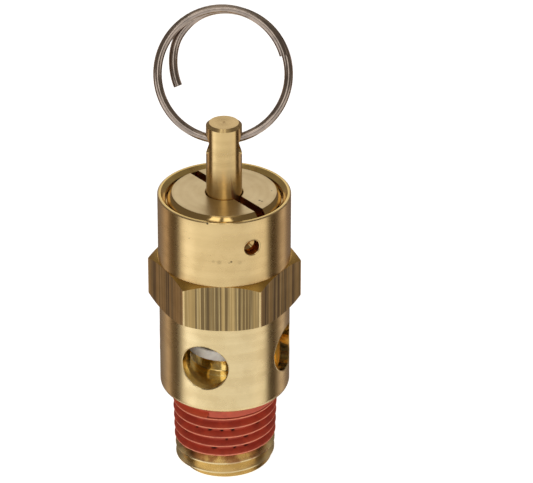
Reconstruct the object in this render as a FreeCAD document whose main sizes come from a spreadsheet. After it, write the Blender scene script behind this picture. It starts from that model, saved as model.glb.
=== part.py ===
"""Pull-ring pressure relief valve with a 1/4-18 NPT male inlet, every size in millimetres.

+Z is up along the valve axis and z = 0 is the end face of the inlet thread.  The front of
the valve looks along -Y, angles round the axis are counted from the front towards +X.
"""
import FreeCAD, Part
import math
import os
import Sketcher
from FreeCAD import Placement, Rotation, Vector

DOC = FreeCAD.newDocument("relief_valve")
SHEET = DOC.addObject("Spreadsheet::Sheet", "Sizes")

# ----------------------------------------------------------------------------- sizes
SIZES = {
    # inlet thread, 1/4-18 NPT, right-hand, taper 1 in 16 on the diameter
    "thread_pitch": 1.4111,
    "thread_taper_angle": 1.78991,
    "thread_depth": 1.0,
    "thread_root_half": 0.06,
    "thread_over": 0.08,
    "thread_over_half": 0.6832,
    "thread_end_radius": 6.63,
    "thread_tip_radius": 5.98,
    "thread_tip_length": 0.73,
    "thread_start_below": 0.69,
    "thread_helix_height": 11.17,
    "neck_radius": 6.96,
    # body outside
    "body_bottom": 11.41,
    "body_edge": 0.70,
    "body_edge_rise": 0.75,
    "body_edge_crown": 0.85,
    "body_low_radius": 8.61,
    "hex_flats": 17.46,
    "hex_bottom": 24.14,
    "hex_top": 30.65,
    "hex_turn": 1.6,
    "hex_chamfer_radius": 8.78,
    "hex_chamfer_run": 1.60,
    "hex_chamfer_drop": 0.92,
    "hex_crown_radius": 8.0,
    "hex_corner_radius": 0.15,
    "body_top_radius": 8.70,
    "rim_height": 39.95,
    "rim_edge": 0.12,
    # body inside
    "inlet_bore_radius": 4.0,
    "inlet_edge": 0.35,
    "inlet_bore_top": 12.6,
    "seat_bore_radius": 2.8,
    "seat_bore_start": 13.3,
    "seat_height": 17.45,
    "seat_lip_radius": 3.20,
    "seat_lip_edge": 0.20,
    "nozzle_radius": 3.80,
    "nozzle_shoulder": 16.95,
    "step_radius": 4.60,
    "step_height": 15.70,
    "nozzle_edge": 0.10,
    "floor_height": 14.90,
    "cavity_radius": 7.35,
    "screw_bore_start": 33.0,
    "screw_bore_radius": 7.65,
    "relief_start": 38.60,
    "relief_radius": 7.72,
    "rim_inner_start": 39.42,
    "rim_inner_radius": 8.26,
    "above_rim": 42.0,
    # discharge ports and lock hole
    "port_diameter": 6.35,
    "port_height": 18.18,
    "port_turn": -17.9,
    "port_start": 6.0,
    "port_length": 4.0,
    "port_edge": 0.07,
    "lock_diameter": 2.08,
    "lock_height": 36.03,
    "lock_turn": 25.05,
    "lock_start": 7.0,
    "lock_length": 3.0,
    "lock_edge": 0.06,
    # thread sealant
    "coat_bottom": 3.10,
    "coat_inner_radius": 5.20,
    "coat_skin": 0.06,
    "coat_taper": 0.264,
    "coat_depth": 0.80,
    "coat_root_half": 0.10,
    "coat_over": 0.12,
    "coat_over_half": 0.6312,
    # adjusting screw, own zero at its lower face
    "screw_seat": 34.50,
    "screw_length": 5.53,
    "screw_radius": 7.60,
    "screw_top_radius": 7.45,
    "screw_face_radius": 6.82,
    "screw_chamfer_drop": 0.70,
    "screw_crown_radius": 3.0,
    "screw_thread_drop": 1.28,
    "screw_foot_edge": 0.40,
    "screw_hole_radius": 2.42,
    "screw_hole_edge": 0.18,
    "screw_slot_half": 0.64,
    "screw_slot_offset": 0.30,
    "screw_slot_depth": 1.70,
    "screw_slot_turn": 51.5,
    "screw_slot_reach": 9.0,
    "dimple_radius": 1.04,
    "dimple_height": 1.53,
    "dimple_floor": 7.05,
    "dimple_tip": 6.43,
    "dimple_mouth": 8.0,
    # stem, own zero at the riveted foot
    "stem_zero": 16.35,
    "stem_length": 33.70,
    "stem_radius": 2.325,
    "stem_face_radius": 1.93,
    "stem_top_edge": 0.36,
    "stem_mark_radius": 0.25,
    "stem_mark_depth": 0.06,
    "stem_hole_height": 30.70,
    "stem_hole_diameter": 2.90,
    "stem_shoulder": 4.85,
    "shank_radius": 1.75,
    "shank_foot": 3.65,
    "spigot_radius": 1.50,
    "rivet_radius": 1.95,
    "rivet_length": 0.50,
    "rivet_edge": 0.30,
    # disc holder, own zero at its lower face
    "holder_foot": 20.0,
    "holder_radius": 3.78,
    "holder_height": 1.20,
    "holder_edge": 0.12,
    # seat disc, own zero at its sealing face
    "disc_radius": 5.23,
    "disc_thickness": 1.50,
    "disc_edge": 0.12,
    "disc_hub_radius": 3.40,
    "disc_hub_height": 2.55,
    # retaining washer, own zero at its lower face
    "washer_foot": 16.85,
    "washer_radius": 2.35,
    "washer_thickness": 0.60,
    "washer_edge": 0.08,
    # spring and its upper seat
    "spring_foot": 21.20,
    "spring_length": 12.70,
    "spring_wire_radius": 0.60,
    "spring_mean_radius": 3.13,
    "spring_end_lift": 0.30,
    "spring_end_pitch": 1.24,
    "spring_active_turns": 6.0,
    "spring_space_radius": 6.0,
    "upper_seat_foot": 33.90,
    "upper_seat_radius": 5.20,
    "upper_seat_hole": 2.60,
    "upper_seat_thickness": 0.60,
    "upper_seat_edge": 0.06,
    # pull ring, own zero at the centre of its loop
    "ring_wire_radius": 0.56,
    "ring_mean_radius": 8.44,
    "ring_lean": 27.0,
    "ring_play": 0.47,
    "ring_side": 0.13,
}

for row, (word, value) in enumerate(SIZES.items(), start=1):
    SHEET.set("A%d" % row, word)
    SHEET.set("B%d" % row, str(value))
    SHEET.setAlias("B%d" % row, word)
DOC.recompute()


# ----------------------------------------------------------------------------- helpers
def amount(text):
    """Number meant by a sum of sheet names and plain numbers, such as 'rim_height - rim_edge'."""
    total = 0.0
    sign = 1.0
    for token in text.split():
        if token in "+-":
            sign = 1.0 if token == "+" else -1.0
        else:
            total += sign * (SIZES[token] if token in SIZES else float(token))
    return total


def formula(text):
    """The same sum written as an expression on the sheet."""
    words = []
    for token in text.split():
        words.append("Sizes." + token if token in SIZES else token)
    return " ".join(words)


def bind(target, path, text):
    """Ties one property or constraint of target to the sheet."""
    target.setExpression(path, formula(text))


def plane_of(body, role):
    """One of the origin planes or axes of a body."""
    return [item for item in body.Origin.OriginFeatures if item.Role == role][0]


def new_body(name):
    body = DOC.addObject("PartDesign::Body", name)
    body.Label = name
    return body


def new_sketch(body, name, role="XZ_Plane"):
    sketch = body.newObject("Sketcher::SketchObject", name)
    sketch.AttachmentSupport = [(plane_of(body, role), "")]
    sketch.MapMode = "FlatFace"
    return sketch


def pin(sketch, geometry, point, across, up):
    """Fixes a point of the sketch at sums of sheet names."""
    for kind, axis, text in (("DistanceX", -2, across), ("DistanceY", -1, up)):
        value = amount(text)
        if abs(value) < 1e-9:
            sketch.addConstraint(Sketcher.Constraint("PointOnObject", geometry, point, axis))
            continue
        if value > 0:
            number = sketch.addConstraint(Sketcher.Constraint(kind, -1, 1, geometry, point, value))
            bind(sketch, "Constraints[%d]" % number, text)
        else:
            number = sketch.addConstraint(Sketcher.Constraint(kind, geometry, point, -1, 1, -value))
            sketch.setExpression("Constraints[%d]" % number, "-(%s)" % formula(text))


def crowned_edge(start, end, radius):
    """Arc from start to end that stands proud on the right of the way there."""
    chord = end - start
    middle = (start + end) / 2
    inset = math.sqrt(radius ** 2 - (chord.Length / 2) ** 2)
    left = Vector(-chord.y, chord.x, 0).normalize()
    centre = middle + left * inset
    first = math.atan2(start.y - centre.y, start.x - centre.x)
    last = math.atan2(end.y - centre.y, end.x - centre.x)
    return Part.ArcOfCircle(Part.Circle(centre, Vector(0, 0, 1), radius), first, last)


def outline(sketch, corners, crowns=None):
    """Closed outline through corners given as pairs of sums.

    The edge that leaves a corner is straight, or an arc where crowns names a radius for it.
    """
    crowns = crowns or {}
    values = [Vector(amount(across), amount(up), 0) for across, up in corners]
    count = len(values)
    for i in range(count):
        start = values[i]
        end = values[(i + 1) % count]
        if i in crowns:
            sketch.addGeometry(crowned_edge(start, end, amount(crowns[i])), False)
        else:
            sketch.addGeometry(Part.LineSegment(start, end), False)
    for i in range(count):
        sketch.addConstraint(Sketcher.Constraint("Coincident", i, 2, (i + 1) % count, 1))
    for i, (across, up) in enumerate(corners):
        pin(sketch, i, 1, across, up)
    for i, radius in crowns.items():
        number = sketch.addConstraint(Sketcher.Constraint("Radius", i, amount(radius)))
        bind(sketch, "Constraints[%d]" % number, radius)


def turned(body, name, corners, kind="PartDesign::Revolution", crowns=None):
    """Solid or groove turned round the Z axis from an outline in the XZ plane."""
    sketch = new_sketch(body, name + "_sketch")
    outline(sketch, corners, crowns)
    feature = body.newObject(kind, name)
    feature.Profile = sketch
    feature.ReferenceAxis = (sketch, ["V_Axis"])
    feature.Angle = 360
    sketch.Visibility = False
    DOC.recompute()
    return feature


def bind_turn(target, path, axis, angle):
    """Ties a rotation round a fixed axis to an angle in degrees."""
    for letter, part in zip("xyz", axis):
        target.setExpression("%s.Rotation.Axis.%s" % (path, letter), "%d" % part)
    target.setExpression(path + ".Rotation.Angle", "(%s) * 1 deg" % angle)


def edge_break(body, name, kind, size, picked):
    """Fillet or chamfer of the sheet size on the edges that picked accepts."""
    base = body.Tip
    names = ["Edge%d" % (i + 1) for i, edge in enumerate(base.Shape.Edges) if picked(edge)]
    feature = body.newObject(kind, name)
    feature.Base = (base, names)
    path = "Radius" if kind.endswith("Fillet") else "Size"
    setattr(feature, path, amount(size))
    bind(feature, path, size)
    DOC.recompute()
    return feature


def side_hole(body, name, diameter, height, turn, start, length):
    """Round hole pointing outwards from the axis, turn degrees round from the front."""
    sketch = new_sketch(body, name + "_sketch", "XZ_Plane")
    angle = "%s * 1 deg" % formula(turn)
    sketch.setExpression("AttachmentOffset.Base.x", "%s * sin(%s)" % (formula(start), angle))
    sketch.setExpression("AttachmentOffset.Base.z", "%s * cos(%s)" % (formula(start), angle))
    bind_turn(sketch, "AttachmentOffset", (0, 1, 0), formula(turn))
    DOC.recompute()
    sketch.addGeometry(Part.Circle(Vector(0, amount(height), 0), Vector(0, 0, 1), amount(diameter) / 2))
    pin(sketch, 0, 3, "0", height)
    number = sketch.addConstraint(Sketcher.Constraint("Diameter", 0, amount(diameter)))
    bind(sketch, "Constraints[%d]" % number, diameter)
    pocket = body.newObject("PartDesign::Pocket", name)
    pocket.Profile = sketch
    pocket.Length = amount(length)
    bind(pocket, "Length", length)
    pocket.Reversed = True
    sketch.Visibility = False
    DOC.recompute()
    return pocket


def thread_groove(body, name, depth, root_half, over, over_half):
    """Helical V groove of the tapered inlet thread."""
    centre = "0 - thread_start_below"
    sketch = new_sketch(body, name + "_sketch")
    outline(sketch, [
        ("thread_end_radius - " + depth, centre + " - " + root_half),
        ("thread_end_radius + " + over, centre + " - " + over_half),
        ("thread_end_radius + " + over, centre + " + " + over_half),
        ("thread_end_radius - " + depth, centre + " + " + root_half)])
    helix = body.newObject("PartDesign::SubtractiveHelix", name)
    helix.Profile = sketch
    helix.ReferenceAxis = (sketch, ["V_Axis"])
    helix.Mode = "pitch-height-angle"
    helix.LeftHanded = False
    helix.Reversed = False
    for path, text in (("Pitch", "thread_pitch"), ("Height", "thread_helix_height"),
                       ("Angle", "thread_taper_angle")):
        setattr(helix, path, amount(text))
        bind(helix, path, text)
    sketch.Visibility = False
    DOC.recompute()
    return helix


def hexagon_pad(body, name):
    """Wrench hexagon with one flat towards the front, turned slightly about the axis."""
    sketch = new_sketch(body, name + "_sketch", "XY_Plane")
    bind(sketch, "AttachmentOffset.Base.z", "hex_bottom")
    bind_turn(sketch, "AttachmentOffset", (0, 0, 1), "-" + formula("hex_turn"))
    corner_radius = amount("hex_flats") / math.sqrt(3)
    corners = []
    for i in range(6):
        angle = math.radians(240 + 60 * i)
        corners.append(Vector(corner_radius * math.cos(angle), corner_radius * math.sin(angle), 0))
    for i in range(6):
        sketch.addGeometry(Part.LineSegment(corners[i], corners[(i + 1) % 6]), False)
    sketch.addGeometry(Part.Circle(Vector(0, 0, 0), Vector(0, 0, 1), corner_radius), True)
    sketch.addConstraint(Sketcher.Constraint("Coincident", 6, 3, -1, 1))
    for i in range(6):
        sketch.addConstraint(Sketcher.Constraint("Coincident", i, 2, (i + 1) % 6, 1))
        sketch.addConstraint(Sketcher.Constraint("PointOnObject", i, 1, 6))
    for i in range(1, 6):
        sketch.addConstraint(Sketcher.Constraint("Equal", 0, i))
    sketch.addConstraint(Sketcher.Constraint("Horizontal", 0))
    number = sketch.addConstraint(Sketcher.Constraint("DistanceY", 0, 1, -1, 1, amount("hex_flats") / 2))
    sketch.setExpression("Constraints[%d]" % number, "Sizes.hex_flats / 2")
    pad = body.newObject("PartDesign::Pad", name)
    pad.Profile = sketch
    pad.Length = amount("hex_top - hex_bottom")
    bind(pad, "Length", "hex_top - hex_bottom")
    sketch.Visibility = False
    DOC.recompute()
    return pad


def radial_groove(body, name, turn, corners, axis_height):
    """Groove turned round a level line that leaves the axis at turn degrees."""
    sketch = new_sketch(body, name + "_sketch", "XZ_Plane")
    bind_turn(sketch, "AttachmentOffset", (0, 1, 0), formula(turn) + " - 90")
    outline(sketch, corners)
    line = sketch.addGeometry(Part.LineSegment(Vector(0, amount(axis_height), 0),
                                               Vector(1, amount(axis_height), 0)), True)
    pin(sketch, line, 1, "0", axis_height)
    pin(sketch, line, 2, "1", axis_height)
    groove = body.newObject("PartDesign::Groove", name)
    groove.Profile = sketch
    groove.ReferenceAxis = (sketch, ["Axis0"])
    groove.Angle = 360
    sketch.Visibility = False
    DOC.recompute()
    return groove


def raise_to(thing, text):
    """Stands a sub-part at a height given by the sheet."""
    thing.Placement = Placement(Vector(0, 0, amount(text)), Rotation())
    bind(thing, "Placement.Base.z", text)


def swept_wire(name, points, radius):
    """Round wire of the sheet radius along a smooth curve through points."""
    curve = Part.BSplineCurve()
    curve.interpolate(points)
    spine = DOC.addObject("Part::Feature", name + "_line")
    spine.Shape = curve.toShape()
    tangent = curve.tangent(curve.FirstParameter)[0]
    section = DOC.addObject("Part::Circle", name + "_section")
    section.Radius = amount(radius)
    bind(section, "Radius", radius)
    section.Placement = Placement(points[0], Rotation(Vector(0, 0, 1), tangent))
    sweep = DOC.addObject("Part::Sweep", name + "_wire")
    sweep.Sections = [section]
    sweep.Spine = (spine, ["Edge1"])
    sweep.Solid = True
    sweep.Frenet = False
    DOC.recompute()
    return sweep


# ----------------------------------------------------------------------------- body
def is_hex_corner(edge):
    """Upright edges of the hexagon, which stand outside every turned surface."""
    tall = abs(edge.BoundBox.ZLength - amount("hex_top - hex_bottom")) < 1e-6
    centre = edge.CenterOfMass
    return tall and math.hypot(centre.x, centre.y) > amount("body_top_radius") + 0.5


def is_port_mouth(edge):
    """Outer mouths of the discharge ports."""
    centre = edge.CenterOfMass
    level = abs(centre.z - amount("port_height")) < 0.2
    box = edge.BoundBox
    round_mouth = abs(box.ZLength - amount("port_diameter")) < 0.05
    return level and round_mouth and math.hypot(centre.x, centre.y) > amount("cavity_radius")


def is_lock_mouth(edge):
    """Outer mouth of the lock hole."""
    centre = edge.CenterOfMass
    level = abs(centre.z - amount("lock_height")) < 0.2
    round_mouth = abs(edge.BoundBox.ZLength - amount("lock_diameter")) < 0.05
    return level and round_mouth and math.hypot(centre.x, centre.y) > amount("screw_bore_radius") + 0.5


valve_body = new_body("body")
turned(valve_body, "outside", [
    ("0", "0"),
    ("thread_tip_radius", "0"),
    ("thread_end_radius", "thread_tip_length"),
    ("neck_radius", "body_bottom"),
    ("body_low_radius - body_edge", "body_bottom"),
    ("body_low_radius", "body_bottom + body_edge_rise"),
    ("body_low_radius", "hex_bottom + 1"),
    ("body_top_radius", "hex_bottom + 1"),
    ("body_top_radius", "rim_height - rim_edge"),
    ("body_top_radius - rim_edge", "rim_height"),
    ("0", "rim_height")], crowns={4: "body_edge_crown"})
hexagon_pad(valve_body, "wrench_hex")
edge_break(valve_body, "hex_corners", "PartDesign::Fillet", "hex_corner_radius", is_hex_corner)
turned(valve_body, "hex_top_chamfer", [
    ("hex_chamfer_radius + hex_chamfer_run", "hex_top - hex_chamfer_drop"),
    ("hex_chamfer_radius", "hex_top"),
    ("hex_chamfer_radius", "hex_top + 1"),
    ("hex_chamfer_radius + hex_chamfer_run", "hex_top + 1")], "PartDesign::Groove", {0: "hex_crown_radius"})
turned(valve_body, "hex_foot_chamfer", [
    ("hex_chamfer_radius", "hex_bottom"),
    ("hex_chamfer_radius + hex_chamfer_run", "hex_bottom + hex_chamfer_drop"),
    ("hex_chamfer_radius + hex_chamfer_run", "hex_bottom - 1"),
    ("hex_chamfer_radius", "hex_bottom - 1")], "PartDesign::Groove", {0: "hex_crown_radius"})
turned(valve_body, "inside", [
    ("0", "0"),
    ("inlet_bore_radius + inlet_edge", "0"),
    ("inlet_bore_radius", "inlet_edge"),
    ("inlet_bore_radius", "inlet_bore_top"),
    ("seat_bore_radius", "seat_bore_start"),
    ("seat_bore_radius", "seat_height - seat_lip_edge"),
    ("seat_bore_radius + seat_lip_edge", "seat_height"),
    ("seat_lip_radius", "seat_height"),
    ("nozzle_radius - nozzle_edge", "nozzle_shoulder"),
    ("nozzle_radius", "nozzle_shoulder - nozzle_edge"),
    ("nozzle_radius", "step_height"),
    ("step_radius - nozzle_edge", "step_height"),
    ("step_radius", "step_height - nozzle_edge"),
    ("step_radius", "floor_height"),
    ("cavity_radius", "floor_height"),
    ("cavity_radius", "screw_bore_start"),
    ("screw_bore_radius", "screw_bore_start + screw_bore_radius - cavity_radius"),
    ("screw_bore_radius", "relief_start"),
    ("relief_radius", "relief_start"),
    ("relief_radius", "rim_inner_start"),
    ("rim_inner_radius", "rim_height"),
    ("rim_inner_radius", "above_rim"),
    ("0", "above_rim")], "PartDesign::Groove")
port = side_hole(valve_body, "port", "port_diameter", "port_height", "port_turn", "port_start", "port_length")
ports = valve_body.newObject("PartDesign::PolarPattern", "ports")
valve_body.Tip = ports
ports.Originals = [port]
ports.Axis = (plane_of(valve_body, "Z_Axis"), [""])
ports.Angle = 360
ports.Occurrences = 4
DOC.recompute()
edge_break(valve_body, "port_mouths", "PartDesign::Chamfer", "port_edge", is_port_mouth)
side_hole(valve_body, "lock_hole", "lock_diameter", "lock_height", "lock_turn", "lock_start", "lock_length")
edge_break(valve_body, "lock_mouth", "PartDesign::Chamfer", "lock_edge", is_lock_mouth)
thread_groove(valve_body, "inlet_thread", "thread_depth", "thread_root_half",
              "thread_over", "thread_over_half")

# ----------------------------------------------------------------------------- thread sealant
coat = new_body("sealant_blank")
turned(coat, "coat_ring", [
    ("coat_inner_radius", "coat_bottom"),
    ("neck_radius + coat_skin - coat_taper", "coat_bottom"),
    ("neck_radius + coat_skin", "body_bottom"),
    ("coat_inner_radius", "body_bottom")])
thread_groove(coat, "coat_thread", "coat_depth", "coat_root_half", "coat_over", "coat_over_half")
sealant = DOC.addObject("Part::Cut", "thread_sealant")
sealant.Label = "thread_sealant"
sealant.Base = coat
sealant.Tool = valve_body
DOC.recompute()

# ----------------------------------------------------------------------------- adjusting screw
screw = new_body("adjusting_screw")
turned(screw, "screw_turning", [
    ("screw_hole_radius", "0"),
    ("screw_radius - screw_foot_edge", "0"),
    ("screw_radius", "screw_foot_edge"),
    ("screw_radius", "screw_length - screw_thread_drop"),
    ("screw_top_radius", "screw_length - screw_thread_drop"),
    ("screw_top_radius", "screw_length - screw_chamfer_drop"),
    ("screw_face_radius", "screw_length"),
    ("screw_hole_radius + screw_hole_edge", "screw_length"),
    ("screw_hole_radius", "screw_length - screw_hole_edge")],
    crowns={5: "screw_crown_radius", 7: "screw_hole_edge"})
slot_sketch = new_sketch(screw, "slot_sketch", "XY_Plane")
bind(slot_sketch, "AttachmentOffset.Base.z", "screw_length")
bind_turn(slot_sketch, "AttachmentOffset", (0, 0, 1), "-" + formula("screw_slot_turn"))
outline(slot_sketch, [
    ("0 - screw_slot_reach", "screw_slot_offset - screw_slot_half"),
    ("screw_slot_reach", "screw_slot_offset - screw_slot_half"),
    ("screw_slot_reach", "screw_slot_offset + screw_slot_half"),
    ("0 - screw_slot_reach", "screw_slot_offset + screw_slot_half")])
slot = screw.newObject("PartDesign::Pocket", "driver_slot")
slot.Profile = slot_sketch
slot.Length = amount("screw_slot_depth")
bind(slot, "Length", "screw_slot_depth")
DOC.recompute()
radial_groove(screw, "lock_dimple", "lock_turn", [
    ("dimple_tip", "dimple_height"),
    ("dimple_mouth", "dimple_height"),
    ("dimple_mouth", "dimple_height + dimple_radius"),
    ("dimple_floor", "dimple_height + dimple_radius")], "dimple_height")
raise_to(screw, "screw_seat")

# ----------------------------------------------------------------------------- moving stem
stem = new_body("stem")
turned(stem, "stem_turning", [
    ("0", "0"),
    ("rivet_radius - rivet_edge", "0"),
    ("rivet_radius", "rivet_edge"),
    ("rivet_radius", "rivet_length"),
    ("spigot_radius", "rivet_length"),
    ("spigot_radius", "shank_foot"),
    ("shank_radius", "shank_foot"),
    ("shank_radius", "stem_shoulder"),
    ("stem_radius", "stem_shoulder"),
    ("stem_radius", "stem_length - stem_top_edge"),
    ("stem_face_radius", "stem_length"),
    ("stem_mark_radius", "stem_length"),
    ("0", "stem_length - stem_mark_depth")])
cross_sketch = new_sketch(stem, "ring_hole_sketch", "YZ_Plane")
cross_sketch.addGeometry(Part.Circle(Vector(0, amount("stem_hole_height"), 0), Vector(0, 0, 1),
                                     amount("stem_hole_diameter") / 2))
pin(cross_sketch, 0, 3, "0", "stem_hole_height")
cross_size = cross_sketch.addConstraint(Sketcher.Constraint("Diameter", 0, amount("stem_hole_diameter")))
bind(cross_sketch, "Constraints[%d]" % cross_size, "stem_hole_diameter")
cross_hole = stem.newObject("PartDesign::Pocket", "ring_hole")
cross_hole.Profile = cross_sketch
cross_hole.Type = "ThroughAll"
cross_hole.Midplane = True
DOC.recompute()
raise_to(stem, "stem_zero")

holder = new_body("disc_holder")
turned(holder, "holder_turning", [
    ("shank_radius", "0"),
    ("holder_radius - holder_edge", "0"),
    ("holder_radius", "holder_edge"),
    ("holder_radius", "holder_height - holder_edge"),
    ("holder_radius - holder_edge", "holder_height"),
    ("shank_radius", "holder_height")])
raise_to(holder, "holder_foot")

disc = new_body("seat_disc")
turned(disc, "disc_turning", [
    ("spigot_radius", "0"),
    ("disc_radius - disc_edge", "0"),
    ("disc_radius", "disc_edge"),
    ("disc_radius", "disc_thickness - disc_edge"),
    ("disc_radius - disc_edge", "disc_thickness"),
    ("disc_hub_radius", "disc_thickness"),
    ("disc_hub_radius", "disc_hub_height"),
    ("spigot_radius", "disc_hub_height")])
raise_to(disc, "seat_height")

washer = new_body("retaining_washer")
turned(washer, "washer_turning", [
    ("spigot_radius", "0"),
    ("washer_radius - washer_edge", "0"),
    ("washer_radius", "washer_edge"),
    ("washer_radius", "washer_thickness - washer_edge"),
    ("washer_radius - washer_edge", "washer_thickness"),
    ("spigot_radius", "washer_thickness")])
raise_to(washer, "washer_foot")

# ----------------------------------------------------------------------------- spring
upper_seat = new_body("upper_spring_seat")
turned(upper_seat, "upper_seat_turning", [
    ("upper_seat_hole", "0"),
    ("upper_seat_radius - upper_seat_edge", "0"),
    ("upper_seat_radius", "upper_seat_edge"),
    ("upper_seat_radius", "upper_seat_thickness - upper_seat_edge"),
    ("upper_seat_radius - upper_seat_edge", "upper_seat_thickness"),
    ("upper_seat_hole", "upper_seat_thickness")])
raise_to(upper_seat, "upper_seat_foot")


def spring_points():
    """Centre line of the spring: one closed turn at each end, even pitch between."""
    end_pitch = SIZES["spring_end_pitch"]
    low = SIZES["spring_end_lift"]
    high = SIZES["spring_length"] - low
    active = SIZES["spring_active_turns"]
    total = active + 2
    steps = 12
    slope = (high - low - 2 * end_pitch) / active
    points = []
    for i in range(int(total * steps) + 1):
        turn = i / steps
        if turn < 1:
            height = low + end_pitch * turn
        elif turn > total - 1:
            height = high - end_pitch * (total - turn)
        else:
            height = low + end_pitch + slope * (turn - 1)
        angle = 2 * math.pi * turn
        radius = SIZES["spring_mean_radius"]
        points.append(Vector(radius * math.cos(angle), radius * math.sin(angle), height))
    return points


spring_wire = swept_wire("spring", spring_points(), "spring_wire_radius")
spring_space = DOC.addObject("Part::Cylinder", "spring_space")
bind(spring_space, "Radius", "spring_space_radius")
bind(spring_space, "Height", "spring_length")
spring = DOC.addObject("Part::Common", "spring")
spring.Label = "spring"
spring.Base = spring_wire
spring.Tool = spring_space
DOC.recompute()
raise_to(spring, "spring_foot")

# ----------------------------------------------------------------------------- pull ring
# turns of the wire: angle from the right, radius as a share of the loop radius, depth in the loop
RING_TURNS = [
    (195, 0.714, 0.58), (182, 0.740, 0.58), (169, 0.778, 0.58), (156, 0.826, 0.58), (143, 0.878, 0.58),
    (130, 0.915, 0.58), (118, 0.948, 0.58), (105, 0.972, 0.58), (90, 0.985, 0.58), (72, 0.993, 0.57),
    (54, 0.998, 0.55), (36, 1.0, 0.50), (16, 1.0, 0.42), (-4, 1.0, 0.33), (-26, 1.0, 0.24),
    (-48, 1.0, 0.15), (-70, 1.0, 0.06), (-90, 1.0, 0.0), (-110, 1.0, -0.06), (-132, 1.0, -0.17),
    (-154, 1.0, -0.32), (-176, 1.0, -0.46), (-198, 1.0, -0.55), (-220, 0.999, -0.58), (-242, 0.997, -0.58),
    (-264, 0.994, -0.58), (-284, 0.988, -0.58), (-304, 0.980, -0.58), (-324, 0.972, -0.58),
    (-343, 0.965, -0.58)]
ring_points = []
for angle, share, depth in RING_TURNS:
    reach = share * SIZES["ring_mean_radius"]
    around = math.radians(angle)
    ring_points.append(Vector(reach * math.cos(around), depth, reach * math.sin(around)))
ring = swept_wire("pull_ring", ring_points, "ring_wire_radius")
ring.Label = "pull_ring"
ring_arm = "(%s)" % formula("ring_mean_radius + ring_play")
ring_angle = formula("ring_lean") + " * 1 deg"
ring.setExpression("Placement.Base.x", "-" + formula("ring_side"))
ring.setExpression("Placement.Base.y", "%s * sin(%s)" % (ring_arm, ring_angle))
ring.setExpression("Placement.Base.z", "%s + %s * cos(%s)" % (
    formula("stem_zero + stem_hole_height"), ring_arm, ring_angle))
bind_turn(ring, "Placement", (1, 0, 0), "-" + formula("ring_lean"))
DOC.recompute()

# ----------------------------------------------------------------------------- checks and export
NODES = [valve_body, sealant, screw, upper_seat, stem, holder, disc, washer, spring, ring]
for item in DOC.Objects:
    if "Invalid" in item.State or "Error" in item.State:
        raise RuntimeError("%s is not up to date: %s" % (item.Name, item.State))
os.makedirs("parts", exist_ok=True)
for node in NODES:
    shape = node.Shape
    if shape.isNull() or not shape.isValid() or len(shape.Solids) != 1:
        raise RuntimeError("%s has a bad shape (%d solids)" % (node.Label, len(shape.Solids)))
    shape.exportStep("parts/%s.step" % node.Label)
    print("%-18s volume %9.2f  solids %d" % (node.Label, shape.Volume, len(shape.Solids)))
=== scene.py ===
"""Finishes, thread sealant, burrs and studio for a brass pull-ring pressure relief valve.

Lengths are in metres in the valve's own frame: +Z runs up the axis from the inlet thread and
-Y is the front.  A turn is an angle round the axis from the front towards +X.
"""
import logging
import math
from dataclasses import dataclass, field
from enum import Enum
from typing import Sequence, Union

import bmesh
import bpy
from mathutils import Matrix, Vector, noise


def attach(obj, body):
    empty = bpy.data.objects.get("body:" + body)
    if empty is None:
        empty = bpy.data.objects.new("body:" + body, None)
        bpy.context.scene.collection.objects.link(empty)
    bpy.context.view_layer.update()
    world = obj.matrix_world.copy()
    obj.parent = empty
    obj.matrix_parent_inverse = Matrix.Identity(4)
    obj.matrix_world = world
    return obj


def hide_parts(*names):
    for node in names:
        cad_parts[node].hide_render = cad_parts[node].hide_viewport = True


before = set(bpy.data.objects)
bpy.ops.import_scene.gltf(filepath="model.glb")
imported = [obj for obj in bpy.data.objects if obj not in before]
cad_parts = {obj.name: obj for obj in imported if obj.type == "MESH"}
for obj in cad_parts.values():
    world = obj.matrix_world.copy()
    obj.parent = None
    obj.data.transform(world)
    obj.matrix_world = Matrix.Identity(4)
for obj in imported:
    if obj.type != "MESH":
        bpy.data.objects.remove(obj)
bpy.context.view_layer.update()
MM = 0.001
LOG = logging.getLogger("relief_valve")

Colour = tuple[float, float, float]
Place = tuple[float, float, float]
Feed = Union[bpy.types.NodeSocket, float, tuple]


class Socket(Enum):
    """Kinds of socket that a shared effect offers."""

    NUMBER = "NodeSocketFloat"
    VECTOR = "NodeSocketVector"


class Rider(Enum):
    """Moving bodies that a piece can ride on."""

    VALVE = "valve"
    STEM = "lifting_stem"
    RING = "ring"


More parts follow.
